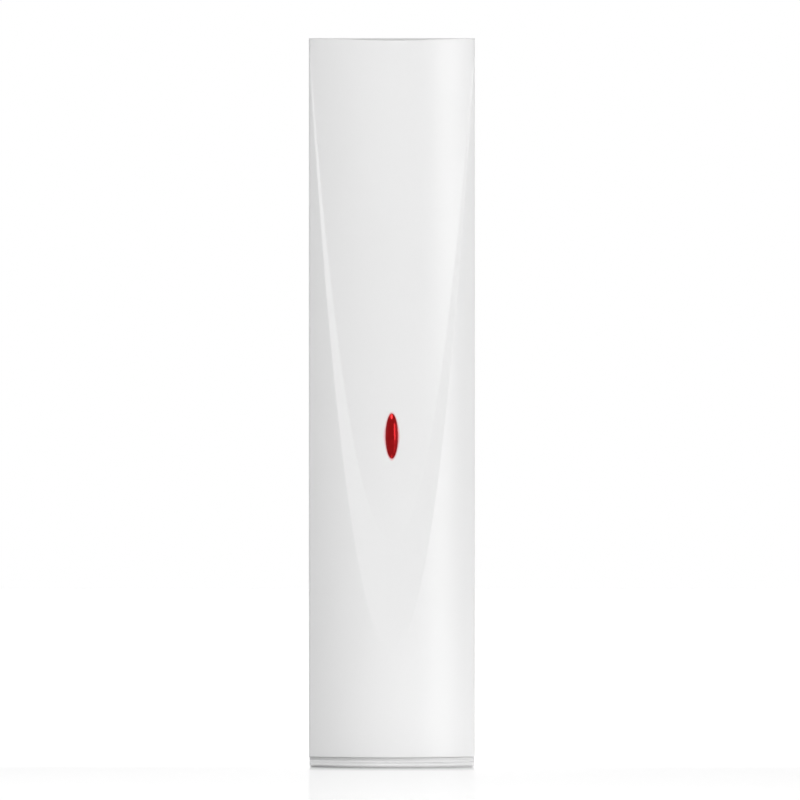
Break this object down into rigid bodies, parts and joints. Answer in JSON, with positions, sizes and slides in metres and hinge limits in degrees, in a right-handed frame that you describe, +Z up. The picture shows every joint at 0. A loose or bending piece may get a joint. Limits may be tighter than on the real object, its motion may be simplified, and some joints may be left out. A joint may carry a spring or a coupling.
{
  "type": "wireless magnetic contact",
  "caption": "Slim upright wireless door contact: a white crowned cover with a raised tongue and a red light guide, on a flat rear base that carries battery, board and reeds.",
  "frame": {"origin": "middle of the foot, on the surface that the contact stands on", "axes": "+X to the right seen from the front, +Y towards the back that meets the wall, +Z up"},
  "size_m": [0.0254, 0.029, 0.112],
  "materials": {
    "cover_plastic": "smooth gloss moulding",
    "base_plastic": "smooth moulding",
    "red_lens": "clear red moulding",
    "board_laminate": "solder resist",
    "lamp_resin": "clear resin",
    "reed_glass": "drawn glass",
    "tinned_wire": "tinned",
    "cell_sleeve": "shrunk film",
    "black_nylon": "moulded",
    "white_nylon": "moulded",
    "spring_steel": "bright",
    "terminal_green": "moulded",
    "plated_steel": "plated",
    "copper_wire": "enamelled",
    "chip_epoxy": "moulded",
    "capacitor_can": "drawn",
    "gold_plating": "plated",
    "chip_ceramic": "fired"
  },
  "bodies": {
    "housing": {"front_cover": "cover_plastic", "rear_base": "base_plastic", "light_guide": "red_lens", "circuit_board": "board_laminate", "status_led": "lamp_resin", "side_reed_glass": "reed_glass", "side_reed_blades": "tinned_wire", "end_reed_glass": "reed_glass", "end_reed_blades": "tinned_wire", "battery_cell": "cell_sleeve", "battery_cradle": "black_nylon", "positive_contact": "spring_steel", "negative_contact": "spring_steel", "tamper_body": "black_nylon", "tamper_spring": "spring_steel", "terminal_housing": "terminal_green", "terminal_clamps": "tinned_wire", "terminal_screws": "plated_steel", "antenna_coil": "copper_wire", "radio_chip": "chip_epoxy", "microcontroller": "chip_epoxy", "crystal_can": "plated_steel", "storage_capacitor": "capacitor_can", "header_pins": "gold_plating", "header_block": "black_nylon", "jumper_cap": "black_nylon", "chip_resistors": "chip_epoxy", "chip_capacitors": "chip_ceramic"},
    "lid_button": {"tamper_plunger": "white_nylon"}
  },
  "joints": [
    {"name": "lid_button_slide", "type": "slide", "parent": "housing", "child": "lid_button", "axis": [0, 1, 0], "range_m": [0, 0.001], "stiffness_N_per_m": 200, "springref_m": -0.001, "deforming": ["tamper_spring"]}
  ]
}
